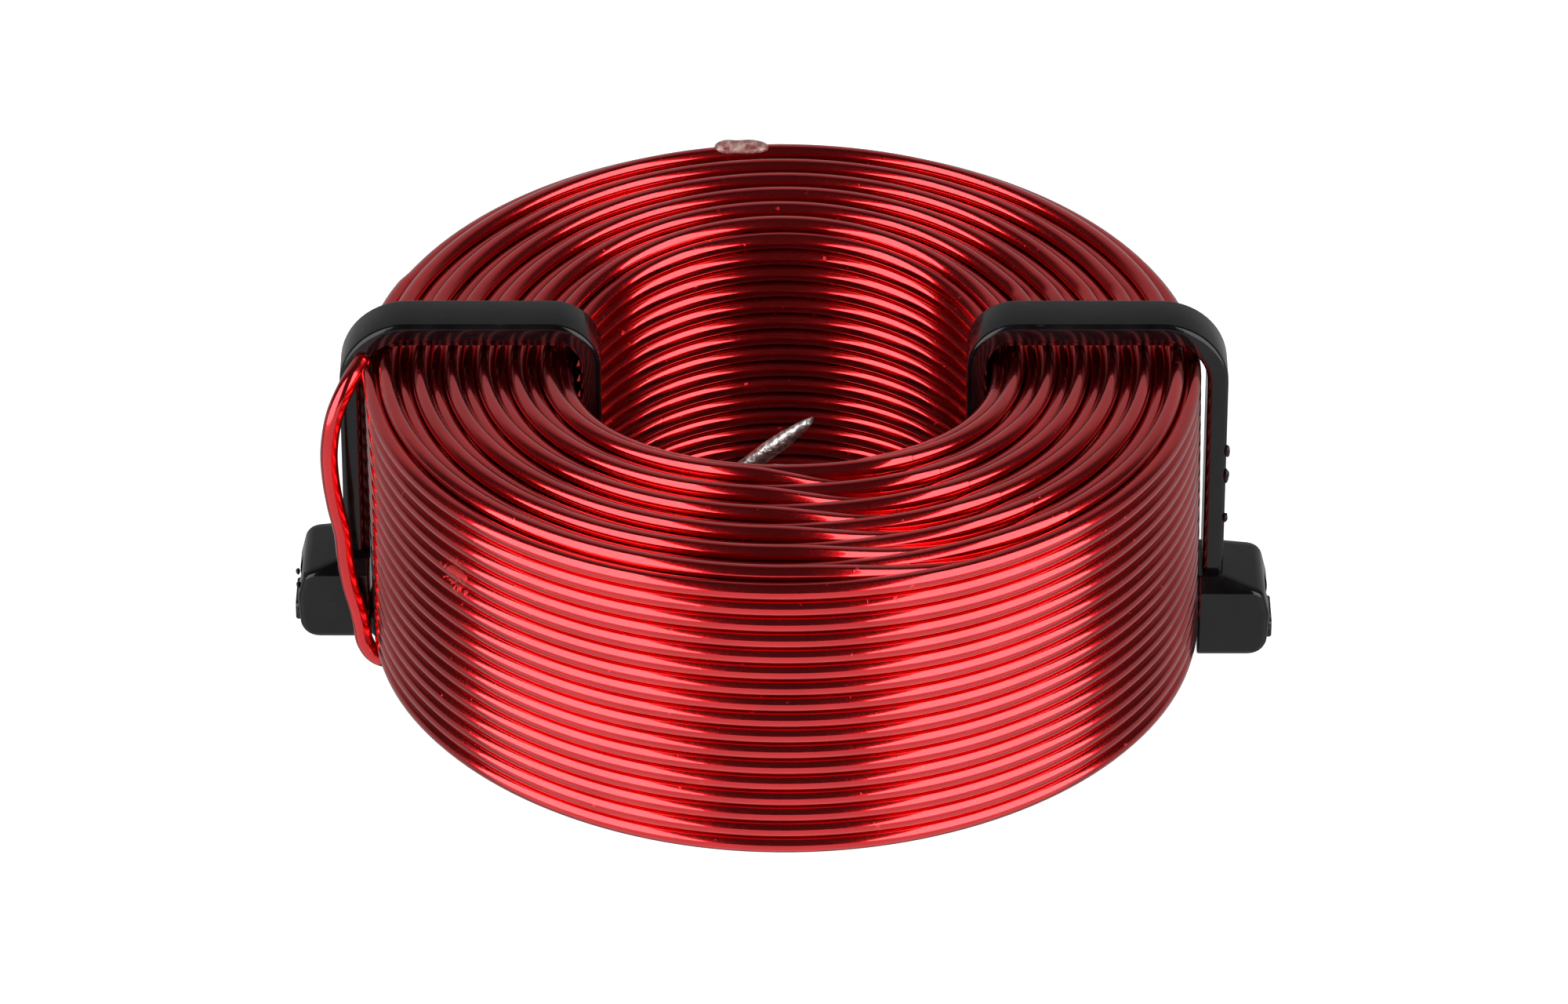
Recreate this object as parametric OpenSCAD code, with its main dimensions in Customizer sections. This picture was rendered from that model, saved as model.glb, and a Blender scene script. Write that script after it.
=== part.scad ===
// Air-core inductor: a bonded coil of enamelled copper wire held by two cable ties.
// Millimetres, +Z up. The origin is on the coil's axis, at the surface that it stands on.

/* [Winding] */
// Diameter of the coil's bore
bore_d = 20; // [18:0.5:24]
// Diameter of the wire over its enamel
wire_d = 0.85; // [0.7:0.01:0.9]
// Height of one turn
turn_pitch = 0.865; // [0.85:0.005:0.95]
// Radial step from one layer to the next
layer_pitch = 0.76; // [0.74:0.01:0.85]
// Layers of wire
layers = 13; // [9:2:13]
// Turns in a full layer; every other layer has one turn less
full_turns = 18; // [14:1:20]

/* [Cable ties] */
// Width of a strap
strap_w = 2.5; // [2.4:0.1:3.6]
// Thickness of a strap
strap_t = 1; // [0.9:0.05:1.1]
// How far behind the centre line the ties sit
tie_y = 1.5; // [0:0.25:3]
// Width of a tie's head
head_w = 4.5; // [4:0.1:5.5]
// Height of the left head above the surface; the right one stands on it
left_head_lift = 1.05; // [0:0.05:1.1]
// Spacing of the strap's ratchet teeth
tooth_pitch = 0.9; // [0.85:0.05:1.2]

/* [Leads] */
// Diameter of a tinned lead end
tip_d = 0.82; // [0.7:0.01:0.85]
// Length of a tinned lead end, with its cut taper
tip_length = 6; // [4:0.5:7]

/* [Hidden] */
$fn = 96;

enamel_red = "firebrick";
nylon_black = "#26262a";
tin_grey = "silver";
eps = 0.01;

// Winding: the straps lift it off the surface
strap_gap_under = 0.3;
strap_gap_over = 0.4;
wire_r = wire_d / 2;
layer_half = layer_pitch / 2 - 0.005;
bond_depth = 0.17;
winding_z = strap_t + strap_gap_under;
winding_h = (full_turns - 1) * turn_pitch + wire_d;
winding_top = winding_z + winding_h;
bore_r = bore_d / 2;
winding_r = bore_r + wire_d + (layers - 1) * layer_pitch;

// Strap loop, seen from the front: its bore run, its outer run and its four bends.
// The far edge of the bore run is the one that comes nearest to the turns.
strap_far_y = tie_y + strap_w / 2;
bore_run_x = sqrt(bore_r * bore_r - strap_far_y * strap_far_y) - 0.02;
outer_run_x = winding_r + 0.28;
strap_top = winding_top + strap_gap_over + strap_t;
bend_outside = 1.8;
bend_bore_top = 1.4;
bend_bore_bottom = 1.35;
bend_rise_outside = 0.5;
bend_rise_inside = 0.2;
arc_steps = 10;
tail_length = 2.45;
tail_x = outer_run_x + strap_t + tail_length;

// Where the strap climbs to the slot, past the lowest turn of the outer layer
rise_x = winding_r - 0.87;
slope = sqrt(2);
rise_outside_x = rise_x - strap_t + slope * strap_t;

// Head, measured from its own foot and from the outer run's winding side
head_inner_x = winding_r + 0.08;
head_outer_x = tail_x - 0.15;
head_h = 4.25;
head_bevel = 0.6;
head_foot_lean = 0.15;
head_foot_round = 0.9;
head_belly_z = 2.2;
head_belly_round = 1.5;
head_shoulder = [0.35, 0.6];
head_shoulder_round = 0.5;
head_top_round = 0.3;
jaw = 0.32;
jaw_lip = 0.15;
slot_gap = 0.03;
slot_side_gap = 0.05;
slot_z = jaw + slot_gap;
cavity_w = 1.5;
cavity_top = 2.95;
past_head = 6;

// Pawl: its bead turns in a round seat, and its tooth sits in a notch of the strap
pawl_w = 1.3;
pivot_x = outer_run_x + 0.75;
pivot_z = 2.55;
bead_r = 0.22;
seat_r = 0.25;
pawl_length = 1.75;
pawl_bite = 0.19;
pawl_back = 0.2;
pawl_front = 0.19;
pawl_tooth = [0.45, 0.29];
pawl_tooth_land = 0.15;
pawl_tip_h = 0.6;
tooth_x = pivot_x + pawl_length;
tooth_depth = 0.25;
tooth_land = 0.18;
tooth_floor = 0.43;
tooth_ramp = 0.35;
tooth_w = 1.5;
toothed_from_x = bore_run_x + 2.35;

// Leads: the routes' own points, and the direction of the outer lead's straight end
lead_sides = 8;
taper = 0.8;
outer_tip_angle = 40;
outer_route = [
    [-20.2, -0.3, 16.7],
    [-20.9, -1.1, 15.7],
    [-21.4, -1.5, 14.4],
    [-21.7, -1.7, 12.7],
    [-21.7, -1.7, 11.1],
    [-21.5, -1.7, 9.4],
    [-21.2, -1.7, 7.8],
    [-21.1, -1.7, 6.3],
    [-20.9, -1.8, 4.9],
    [-20.6, -1.9, 3.7],
    [-20.4, -2.0, 2.7],
    [-20.25, -2.1, 1.8],
    [-19.8, -2.2, 1.1],
    [-19.0, -2.2, 0.8],
    [-17.2, -2.3, 0.7],
    [-15.2, -2.4, 0.7],
    [-13.2, -2.4, 0.7],
    [-11.2, -2.4, 0.8],
    [-9.7, -2.4, 1.2],
    [-8.4, -2.4, 2.3],
    [-7.3, -2.4, 3.9],
    [-6.4, -2.4, 5.7],
    [-5.5, -2.4, 7.5],
    [-4.5, -2.4, 9.3],
    [-3.3, -2.4, 10.8]
];
inner_route = [
    [-8.95, -3.2, 2.1],
    [-8.4, -4.4, 1.8],
    [-7.3, -6.0, 1.3],
    [-5.8, -7.5, 0.9],
    [-3.9, -8.6, 0.7],
    [-1.8, -9.2, 0.6],
    [0.4, -9.3, 0.6],
    [2.5, -8.9, 0.8],
    [4.2, -8.1, 1.3],
    [5.3, -7.1, 2.4],
    [5.9, -6.4, 3.9],
    [6.1, -6.1, 5.5],
    [6.1, -6.1, 7.1],
    [6.1, -6.1, 8.6]
];

// Varnish drop on the rear rim
drop_length = 1.7;
drop_r = 0.5;
drop_x = -2.1;

function unit(v) = v / norm(v);

// Points of the arc of radius r that rounds the corner b between a and c
function bend(a, b, c, r) =
    let (
        to_a = unit(a - b),
        to_c = unit(c - b),
        half = acos(to_a * to_c) / 2,
        middle = b + unit(to_a + to_c) * r / sin(half),
        first = b + to_a * r / tan(half) - middle,
        last = b + to_c * r / tan(half) - middle,
        from = atan2(first.y, first.x),
        turn = (atan2(last.y, last.x) - from + 540) % 360 - 180
    )
    [for (i = [0:arc_steps]) middle + r * [cos(from + turn * i / arc_steps), sin(from + turn * i / arc_steps)]];

// A line through corners [x, z, radius], with each inner corner rounded
function rounded_line(corners) =
    let (last = len(corners) - 1, flat = [for (c = corners) [c.x, c.y]])
    concat(
        [flat[0]],
        [for (i = [1:last - 1]) each bend(flat[i - 1], flat[i], flat[i + 1], corners[i].z)],
        [flat[last]]
    );

function reversed(list) = [for (i = [len(list) - 1:-1:0]) list[i]];

function layer_r(i) = bore_r + wire_r + (i - 1) * layer_pitch;
function layer_turns(i) = full_turns - i % 2;
function layer_first_z(i) = winding_z + wire_r + (i % 2) * turn_pitch / 2;

// Section of a layer: a wall with round ends
module layer_wall(i) {
    first = layer_first_z(i) - wire_r + layer_half;
    last = layer_first_z(i) + (layer_turns(i) - 1) * turn_pitch + wire_r - layer_half;
    translate([layer_r(i) - layer_half, first])
        square([2 * layer_half, last - first]);
    for (z = [first, last])
        translate([layer_r(i), z])
            circle(layer_half);
}

// Round turns that show on one side of a layer: side 1 is its outside, -1 its bore side
module layer_turns_shown(i, side) {
    intersection() {
        for (turn = [0:layer_turns(i) - 1])
            translate([layer_r(i), layer_first_z(i) + turn * turn_pitch])
                circle(wire_r);
        translate([side > 0 ? layer_r(i) - layer_half : layer_r(i) - wire_d, 0])
            square([wire_d + layer_half, winding_top + 1]);
    }
}

// Wall of a layer whose turns show: it stops short of them on that side, as their bond does
module layer_core(i, side) {
    intersection() {
        layer_wall(i);
        translate([-side * bond_depth, 0])
            layer_wall(i);
    }
}

module winding_layer(i) {
    side = i == layers ? 1 : i == 1 ? -1 : 0;
    color(enamel_red)
        rotate_extrude()
            if (side == 0) {
                layer_wall(i);
            } else {
                layer_core(i, side);
                layer_turns_shown(i, side);
            }
}

// Round tube along a route, with a ring at each of its points; the route never runs along aside
module tube(route, d, aside) {
    n = len(route);
    way = [for (i = [0:n - 1]) unit(route[min(i + 1, n - 1)] - route[max(i - 1, 0)])];
    side = [for (w = way) unit(cross(w, aside))];
    up = [for (i = [0:n - 1]) cross(side[i], way[i])];
    rings = [
        for (i = [0:n - 1], k = [0:lead_sides - 1])
            let (a = 360 * k / lead_sides)
            route[i] + d / 2 * (cos(a) * side[i] + sin(a) * up[i])
    ];
    walls = [
        for (i = [0:n - 2], k = [0:lead_sides - 1])
            let (
                here = i * lead_sides,
                ahead = here + lead_sides,
                next = (k + 1) % lead_sides
            )
            each [
                [here + k, here + next, ahead + next],
                [here + k, ahead + next, ahead + k]
            ]
    ];
    first_cap = [for (k = [lead_sides - 1:-1:0]) k];
    last_cap = [for (k = [0:lead_sides - 1]) (n - 1) * lead_sides + k];
    polyhedron(rings, concat([first_cap], walls, [last_cap]));
}

module outer_lead() {
    color(enamel_red)
        tube(outer_route, wire_d, [0, 1, 0]);
}

module inner_lead() {
    color(enamel_red)
        tube(inner_route, wire_d, [0.7, 0.7, -0.1]);
}

// Tinned end, cut off to a blunt taper
module lead_tip() {
    color(tin_grey) {
        cylinder(h = tip_length - taper, d = tip_d);
        translate([0, 0, tip_length - taper])
            cylinder(h = taper, d1 = tip_d, d2 = tip_d / 3);
    }
}

module outer_lead_tip() {
    translate(outer_route[len(outer_route) - 1])
        rotate([0, 90 - outer_tip_angle, 0])
            lead_tip();
}

module inner_lead_tip() {
    translate(inner_route[len(inner_route) - 1])
        lead_tip();
}

// Both faces of the strap in the loop's plane, from the head's top round to the cut tail
function strap_outline(lift) =
    let (
        rise = slot_z + lift,
        root_z = lift + head_h,
        outside = rounded_line([
            [outer_run_x + strap_t, root_z, 0],
            [outer_run_x + strap_t, strap_top, bend_outside + strap_t],
            [bore_run_x - strap_t, strap_top, bend_bore_top + strap_t],
            [bore_run_x - strap_t, 0, bend_bore_bottom + strap_t],
            [rise_outside_x, 0, bend_rise_outside],
            [rise_outside_x + rise, rise, bend_rise_inside],
            [tail_x, rise, 0]
        ]),
        inside = rounded_line([
            [outer_run_x, root_z, 0],
            [outer_run_x, strap_top - strap_t, bend_outside],
            [bore_run_x, strap_top - strap_t, bend_bore_top],
            [bore_run_x, strap_t, bend_bore_bottom],
            [rise_x, strap_t, bend_rise_inside],
            [rise_x + rise, strap_t + rise, bend_rise_outside],
            [tail_x, strap_t + rise, 0]
        ])
    )
    concat(outside, reversed(inside));

// One notch of the ladder; its steep side faces the tail
module notch(x, z) {
    translate([x, z])
        polygon([
            [tooth_land, eps],
            [tooth_land, -tooth_depth],
            [tooth_land - tooth_floor, -tooth_depth],
            [tooth_land - tooth_floor - tooth_ramp, eps]
        ]);
}

module across(width) {
    translate([0, tie_y + width / 2, 0])
        rotate([90, 0, 0])
            linear_extrude(width)
                children();
}

module tie_strap(lift) {
    flat_end_x = rise_x - 1;
    flat_notches = floor((flat_end_x - toothed_from_x) / tooth_pitch);
    color(nylon_black)
        difference() {
            across(strap_w)
                polygon(strap_outline(lift));
            across(tooth_w)
                for (k = [0:flat_notches])
                    notch(flat_end_x - k * tooth_pitch, strap_t);
            across(tooth_w)
                for (k = [0:1])
                    notch(tooth_x - k * tooth_pitch, slot_z + lift + strap_t);
        }
}

// Side view of the head: rounded foot, bulging outer face and sloping top
module head_profile() {
    polygon(concat(
        [[head_inner_x, 0]],
        rounded_line([
            [head_inner_x + 1, 0, 0],
            [head_outer_x - head_foot_lean, 0, head_foot_round],
            [head_outer_x, head_belly_z, head_belly_round],
            [head_outer_x - head_shoulder.x, head_h - head_shoulder.y, head_shoulder_round],
            [outer_run_x + strap_t, head_h, head_top_round],
            [head_inner_x, head_h, 0]
        ])
    ));
}

// Front view of the head, with its two top edges bevelled
module head_front() {
    polygon([
        [-head_w / 2, 0],
        [head_w / 2, 0],
        [head_w / 2, head_h - head_bevel],
        [head_w / 2 - head_bevel, head_h],
        [-head_w / 2 + head_bevel, head_h],
        [-head_w / 2, head_h - head_bevel]
    ]);
}

module tie_head(lift) {
    lip_x = rise_outside_x + slot_z + lift + jaw_lip;
    slot_w = strap_w + 2 * slot_side_gap;
    color(nylon_black)
        translate([0, 0, lift])
            difference() {
                intersection() {
                    across(head_w)
                        head_profile();
                    translate([head_inner_x, tie_y, 0])
                        rotate([90, 0, 90])
                            linear_extrude(past_head)
                                head_front();
                }
                across(slot_w)
                    translate([head_inner_x - 1, jaw])
                        square([past_head, strap_t + 2 * slot_gap]);
                across(slot_w)
                    translate([head_inner_x - 1, -lift - 1])
                        square([max(lip_x - head_inner_x + 1, eps), lift + 1 + jaw + eps]);
                across(cavity_w) {
                    translate([pivot_x, jaw])
                        square([past_head, cavity_top - jaw]);
                    translate([pivot_x, pivot_z])
                        circle(seat_r);
                }
            }
}

module tie_pawl(lift) {
    low_z = slot_z + strap_t - pawl_bite;
    color(nylon_black)
        translate([0, 0, lift])
            across(pawl_w) {
                polygon([
                    [pivot_x + 0.05, pivot_z - pawl_front],
                    [tooth_x - pawl_tooth.x, low_z + pawl_tooth.y],
                    [tooth_x - pawl_tooth_land, low_z],
                    [tooth_x, low_z],
                    [tooth_x, low_z + pawl_tip_h],
                    [pivot_x + 0.15, pivot_z + pawl_back]
                ]);
                translate([pivot_x, pivot_z])
                    circle(bead_r);
            }
}

module left_side() {
    mirror([1, 0, 0])
        children();
}

module left_tie_strap() {
    left_side()
        tie_strap(left_head_lift);
}

module left_tie_head() {
    left_side()
        tie_head(left_head_lift);
}

module left_tie_pawl() {
    left_side()
        tie_pawl(left_head_lift);
}

module right_tie_strap() {
    tie_strap(0);
}

module right_tie_head() {
    tie_head(0);
}

module right_tie_pawl() {
    tie_pawl(0);
}

// Dried drop lying along the top turn of the last full layer
module varnish_drop() {
    r = layer_r(layers - 1);
    y = sqrt(r * r - drop_x * drop_x);
    color("rosybrown")
        intersection() {
            translate([drop_x - drop_length / 2, y, winding_top])
                rotate([0, 90, 0]) {
                    cylinder(h = drop_length, r = drop_r);
                    sphere(drop_r);
                    translate([0, 0, drop_length])
                        sphere(drop_r);
                }
            translate([drop_x - drop_length, y - 1, winding_top])
                cube([2 * drop_length, 2, 1]);
        }
}

winding_layer(1);  // winding_layer_01
winding_layer(2);  // winding_layer_02
winding_layer(3);  // winding_layer_03
winding_layer(4);  // winding_layer_04
winding_layer(5);  // winding_layer_05
winding_layer(6);  // winding_layer_06
winding_layer(7);  // winding_layer_07
winding_layer(8);  // winding_layer_08
winding_layer(9);  // winding_layer_09
winding_layer(10);  // winding_layer_10
winding_layer(11);  // winding_layer_11
winding_layer(12);  // winding_layer_12
winding_layer(13);  // winding_layer_13
outer_lead();
outer_lead_tip();
inner_lead();
inner_lead_tip();
left_tie_strap();
left_tie_head();
left_tie_pawl();
right_tie_strap();
right_tie_head();
right_tie_pawl();
varnish_drop();
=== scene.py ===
"""Looks of an air-core inductor: a bonded coil of enamelled copper wire held by two cable ties.

Lengths are in millimetres until a mesh is made, which turns them into metres. Values whose names end in
_DEG are in degrees and all other angles in radians; angles on the coil go round from +X towards +Y.
"""

import math
import random

import bmesh
import bpy
import numpy as np
from mathutils import Matrix, Vector


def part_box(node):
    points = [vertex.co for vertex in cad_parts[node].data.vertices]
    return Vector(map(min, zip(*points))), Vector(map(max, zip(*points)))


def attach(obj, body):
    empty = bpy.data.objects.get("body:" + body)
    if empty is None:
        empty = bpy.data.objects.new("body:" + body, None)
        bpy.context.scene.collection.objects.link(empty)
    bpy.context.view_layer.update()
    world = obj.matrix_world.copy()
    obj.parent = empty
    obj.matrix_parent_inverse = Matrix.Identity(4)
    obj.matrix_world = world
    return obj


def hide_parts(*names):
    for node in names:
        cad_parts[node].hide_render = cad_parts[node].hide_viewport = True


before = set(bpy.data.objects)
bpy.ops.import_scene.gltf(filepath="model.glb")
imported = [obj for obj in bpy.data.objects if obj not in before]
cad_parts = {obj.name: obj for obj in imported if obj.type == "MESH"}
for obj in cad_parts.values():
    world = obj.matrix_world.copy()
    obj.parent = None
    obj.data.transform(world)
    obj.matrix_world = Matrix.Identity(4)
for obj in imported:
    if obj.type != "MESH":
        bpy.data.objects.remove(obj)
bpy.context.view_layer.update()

MM = 0.001
ANY_PHASE = (0, 6.28)
WELD = 1e-7

# Camera
CAMERA_LENS = 209.7
CAMERA_SENSOR = 36
CAMERA_ELEVATION = math.radians(33.1)
CAMERA_TARGET = (0, 0, 8.45)
CAMERA_DISTANCE = 439.6

# Wire, and its tinned ends
WIRE_D = 0.85
WIRE_R = WIRE_D / 2
BARE_R = 0.8 * WIRE_R
BARE_END_R = 0.4 * WIRE_R
TIP_LENGTH = 6
TIP_R = 0.41
TIP_TAPER = 1.6
TIP_TAPER_POWER = 0.75
TIP_BLUNT = 0.30
TIP_SLANT = 0.12
COLLAR_LENGTH = 0.25
COLLAR_SIZE = 0.9
LUMPS = 14
LUMP_WAVES = (0.7, 3.4)
LUMP_LOBES = (0, 3)
LUMP_SIZE = (0.004, 0.016)
WIRE_END = TIP_LENGTH - 0.5
WIRE_IN_TIP = (0.3, 0.6, 2.4, 4.2, WIRE_END)

# Winding: layers of level turns, each of which steps on to the next at its layer's crossover
TURN_PITCH = 0.865
LAYER_PITCH = 0.76
LAYERS = 13
FULL_TURNS = 18
BORE_R = 10
WINDING_Z = 1.3
WINDING_H = (FULL_TURNS - 1) * TURN_PITCH + WIRE_D
WINDING_LEAN = 0.013
TOP_TURN = 1.6 * WIRE_D
ARC_STEP = math.radians(2.2)
STEP_ANGLE = math.radians(28)
FIRST_CROSSOVER = math.radians(-66)
CROSSOVER_AT = math.radians(-58)
CROSSOVER_DRIFT = math.radians(1.2)
LAST_CROSSOVER = math.radians(95)

# How far the turns lie out of true
WOBBLES = 5
WOBBLE_WAVES = (2, 5)
WOBBLE_DRIFT = 0.35
WOBBLE_SIZE = (0.004, 0.012)
WOBBLE_RISE = 0.8
WOBBLE_PHASE_RISE = 1.7
SPREAD_OUTSIDE = 0.3
SPREAD_AT_BORE = 0.6

# Nicks in the top turns, and a smear of varnish at the front left
NICKED_LAYERS = range(4, 12)
NICK_ANGLE = math.radians(33)
NICK_DRIFT = math.radians(1.3)
NICK_W = math.radians(2.2)
NICK_OUT = 0.07
NICK_DOWN = 0.06
SMEAR_AT = (-15.4, -12.7, 12.6)
SMEAR_R = 1.9
SMEAR_CORE_R = 0.4

# Where the wire leaves the winding: the last turn bulges, and then climbs out of it
LEAD_OUT_DEG = 170
BULGE = 0.12
BULGE_HALF_DEG = 15
BULGE_EDGE_DEG = 3
CLIMB_STEPS = 12
CLIMB_RANGE_DEG = (168, 178)
CLIMB_FROM_DEG = 169
CLIMB_OVER_DEG = 9
CLIMB_OUT = 0.5
CLIMB_UP = 0.3

# Leads: the centreline of each, from the winding to where its tinned end begins
OUTER_ROUTE = [
    (-20.15, 0.2, 16.3), (-20.8, -1.0, 15.7), (-21.4, -1.5, 14.4), (-21.7, -1.7, 12.7),
    (-21.7, -1.7, 11.1), (-21.5, -1.7, 9.4), (-21.2, -1.7, 7.8), (-21.1, -1.7, 6.3),
    (-20.9, -1.8, 4.9), (-20.6, -1.9, 3.7), (-20.4, -2.0, 2.7), (-20.25, -2.1, 1.8),
    (-19.8, -2.2, 1.1), (-19.0, -2.2, 0.8), (-17.2, -2.3, 0.7), (-15.2, -2.4, 0.7),
    (-13.2, -2.4, 0.7), (-11.2, -2.4, 0.8), (-9.7, -2.4, 1.2), (-8.4, -2.4, 2.3),
    (-7.3, -2.4, 3.9), (-6.4, -2.4, 5.7), (-5.5, -2.4, 7.5), (-4.5, -2.4, 9.3),
    (-3.3, -2.4, 10.8),
]
INNER_ROUTE = [
    (-8.95, -3.2, 2.1), (-8.4, -4.4, 1.8), (-7.3, -6.0, 1.3), (-5.8, -7.5, 0.9),
    (-3.9, -8.6, 0.7), (-1.8, -9.2, 0.6), (0.4, -9.3, 0.6), (2.5, -8.9, 0.8),
    (4.2, -8.1, 1.3), (5.3, -7.1, 2.4), (5.9, -6.4, 3.9), (6.1, -6.1, 5.5),
    (6.1, -6.1, 7.1), (6.1, -6.1, 8.6),
]
OUTER_TIP_ANGLE = math.radians(40)
INNER_TIP_WAY = (0, 0, 1)
ROUTE_STEPS = 7
WIRE_SIDES = 20

# Straps: a loop of ribbon, seen from the front, with a ladder of teeth on the stretch to the tail
STRAP_W = 2.5
STRAP_T = 1.0
STRAP_EDGE = 0.24
STRAP_STEP = 0.09
STRAP_END_SHRINK = 0.94
STRAP_IN_HEAD = 0.2
STRAP_TOP_IN_HEAD = 0.5
BORE_GAP = 0.15
BEND_OUTSIDE = 2.3
BEND_BORE_TOP = 1.4
BEND_BORE_BOTTOM = 1.35
BEND_RISE_OUTSIDE = 0.8
BEND_RISE_INSIDE = 0.6
RISE_IN = 0.28 + 0.87 - 0.2
TOOTH_PITCH = 0.9
TOOTH_DEPTH = 0.25
TOOTH_W = 1.5
TOOTH_RAMP_FROM = 0.2
TOOTH_RAMP = 0.35
TOOTH_STEP_AT = 0.93
TOOTH_FLANK = 0.03
LADDER_TOP = 1.7
LADDER_FROM = 0.55
LADDER_END = 0.4
SWELL_TOP = 0.28
SWELL_LEFT = 0.24
SWELL_W = 1.9
SWELL_FACING = 0.8
STRAP_NUBS = ((11.1, 0.36), (9.7, 0.42), (7.3, 0.28))
STRAP_NUB_SIZE = (0.15, 0.2)
STRAP_NUB_OUT = 0.02
STRAP_NUB_FRONT = 1.1
NUB_ROUGHNESS = (0.8, 1.1)

# Heads: the outline from the front and from the side, and the openings
HEAD_BEVEL = 0.6
HEAD_BEVEL_R = 0.22
HEAD_BASE_R = 0.35
HEAD_FOOT_IN = 0.15
HEAD_FOOT_R = 0.9
HEAD_BELLY_Z = 2.2
HEAD_BELLY_R = 1.5
HEAD_TOP_IN = 0.35
HEAD_TOP_R = 0.7
HEAD_CREST_R = 0.6
HEAD_BASE_FROM = 1
HEAD_CREST_TO = 0.3
HEAD_LEVELS = 40
HEAD_CORNER = 0.42
HEAD_CORNER_SHARE = 0.45
HEAD_INNER_CORNER = 0.12
SLOT_Z = 0.35
SLOT_GAP = 0.03
SLOT_SIDE_GAP = 0.05
SLOT_OVERLAP = 0.01
MOUTH_DEPTH = 0.55
CAVITY_X = 0.95
CAVITY_HALF_W = 0.75
CAVITY_LIP = 0.1
CAVITY_TOP = 2.95
PAST_HEAD = 6
PAST_INNER_FACE = 1
PAST_BASE = 2
HEAD_NUBS = {"left": (0.28, 0.62, 0.80), "right": (0.3, 0.42)}
HEAD_NUB_SIZE = (0.12, 0.2, 0.16)
HEAD_NUB_IN = 0.04
HEAD_NUB_FRONT = 1.5

# Pawls: a round root high on the inside, and the toothed end as (x, z) from the lowest outer corner
PAWL_ROOT_R = 0.22
PAWL_ROOT_DOWN = 0.24
PAWL_ROOT_DEG = range(60, 301, 24)
PAWL_END = [
    (-0.62, 0.34), (-0.48, 0.26), (-0.40, 0.12), (-0.26, 0.20),
    (-0.15, 0), (0, 0.02), (0, 0.60), (-0.18, 0.68),
]
PAWL_BEVEL = 0.05

# Varnish drop
DROP_MIDDLE = 0.3
DROP_UP = 0.34
DROP_DOWN = 0.25
DROP_HALF_W = 0.5
DROP_END_POWER = 3.2
DROP_WAVES = 7
DROP_WAVE = (1.5, 7)
DROP_WAVE_SIZE = (0.02, 0.07)

# Colours
ENAMEL_DEEP = (0.58, 0.006, 0.010, 1)
ENAMEL_BRIGHT = (0.72, 0.013, 0.018, 1)
ENAMEL_SPOT = (0.78, 0.05, 0.06, 1)
ENAMEL_SMEAR = (0.34, 0.035, 0.035, 1)
NYLON_DARK = (0.0012, 0.0011, 0.0015, 1)
NYLON_LIGHT = (0.0040, 0.0037, 0.0045, 1)
NYLON_SCUFF = (0.028, 0.027, 0.029, 1)
TIN_DARK = (0.26, 0.25, 0.24, 1)
TIN_BRIGHT = (0.88, 0.86, 0.84, 1)
VARNISH_DARK = (0.36, 0.10, 0.09, 1)
VARNISH_PALE = (0.80, 0.60, 0.54, 1)
WHITE = (1, 1, 1, 1)
BLACK = (0, 0, 0, 1)
FLOOR_GREY = (0.5, 0.5, 0.5, 1)
SHADE_GREY = (0.3, 0.3, 0.3, 1)

# Studio
FLOOR_HALF = 1500
FLOOR_BRIGHTNESS = 0.93
STAGE_ROUGHNESS = 0.9
SHADE_SIDES = 64
SHADE_Z = 0.01
PANEL_X = 210
PANEL_BRIGHTNESS = 4.2
PANEL_BOTTOM = -20
PANEL_TOP = 560
PANEL_REAR = -30
PANEL_SHOULDER = -60
PANEL_FRONT = -560
PANEL_FRONT_TOP = 90

# World: brightness goes from one value to the next with a direction's Y, above and below the horizon
ABOVE_Y = (0.3, 0.7)
ABOVE_BRIGHTNESS = (0.06, 0.40)
BELOW_Y = (-0.10, -0.02)
BELOW_BRIGHTNESS = (0.9, 0.36)
HORIZON_Z = (-0.04, 0.02)


# ---------------------------------------------------------------- small helpers

def smooth(t):
    """Eases 0..1, flat at both ends; works on numbers and arrays."""
    t = np.clip(t, 0, 1)
    return t * t * (3 - 2 * t)


def new_object(name, verts_mm, faces, smooth_angle=None):
    """A smooth mesh object from points in millimetres. Edges over smooth_angle degrees stay sharp."""
    mesh = bpy.data.meshes.new(name)
    mesh.from_pydata([tuple(v) for v in np.asarray(verts_mm, float) * MM], [], faces)
    mesh.polygons.foreach_set("use_smooth", [True] * len(mesh.polygons))
    mesh.validate()
    if smooth_angle:
        mesh.set_sharp_from_angle(angle=math.radians(smooth_angle))
    mesh.update()
    obj = bpy.data.objects.new(name, mesh)
    bpy.context.scene.collection.objects.link(obj)
    return obj


def skin(rings, sides, capped=True):
    """Faces that join rings of points, each to the next, and close the first and last if capped."""
    here = (np.arange(rings - 1) * sides)[:, None]
    k = np.arange(sides)[None, :]
    after = (k + 1) % sides
    faces = np.stack([here + k, here + after, here + sides + after, here + sides + k], axis=-1)
    faces = faces.reshape(-1, 4).tolist()
    if capped:
        faces.append(list(range(sides - 1, -1, -1)))
        faces.append([(rings - 1) * sides + i for i in range(sides)])
    return faces


def catmull(points, steps):
    """A smooth line through the points, with that many steps between each two."""
    p = [np.array(q, float) for q in points]
    p = [2 * p[0] - p[1]] + p + [2 * p[-1] - p[-2]]
    line = []
    for a, b, c, d in zip(p, p[1:], p[2:], p[3:]):
        for k in range(steps):
            t = k / steps
            line.append(
                0.5 * (2 * b + (c - a) * t + (2 * a - 5 * b + 4 * c - d) * t ** 2
                       + (3 * b - a - 3 * c + d) * t ** 3)
            )
    line.append(p[-2])
    return np.array(line)


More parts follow.
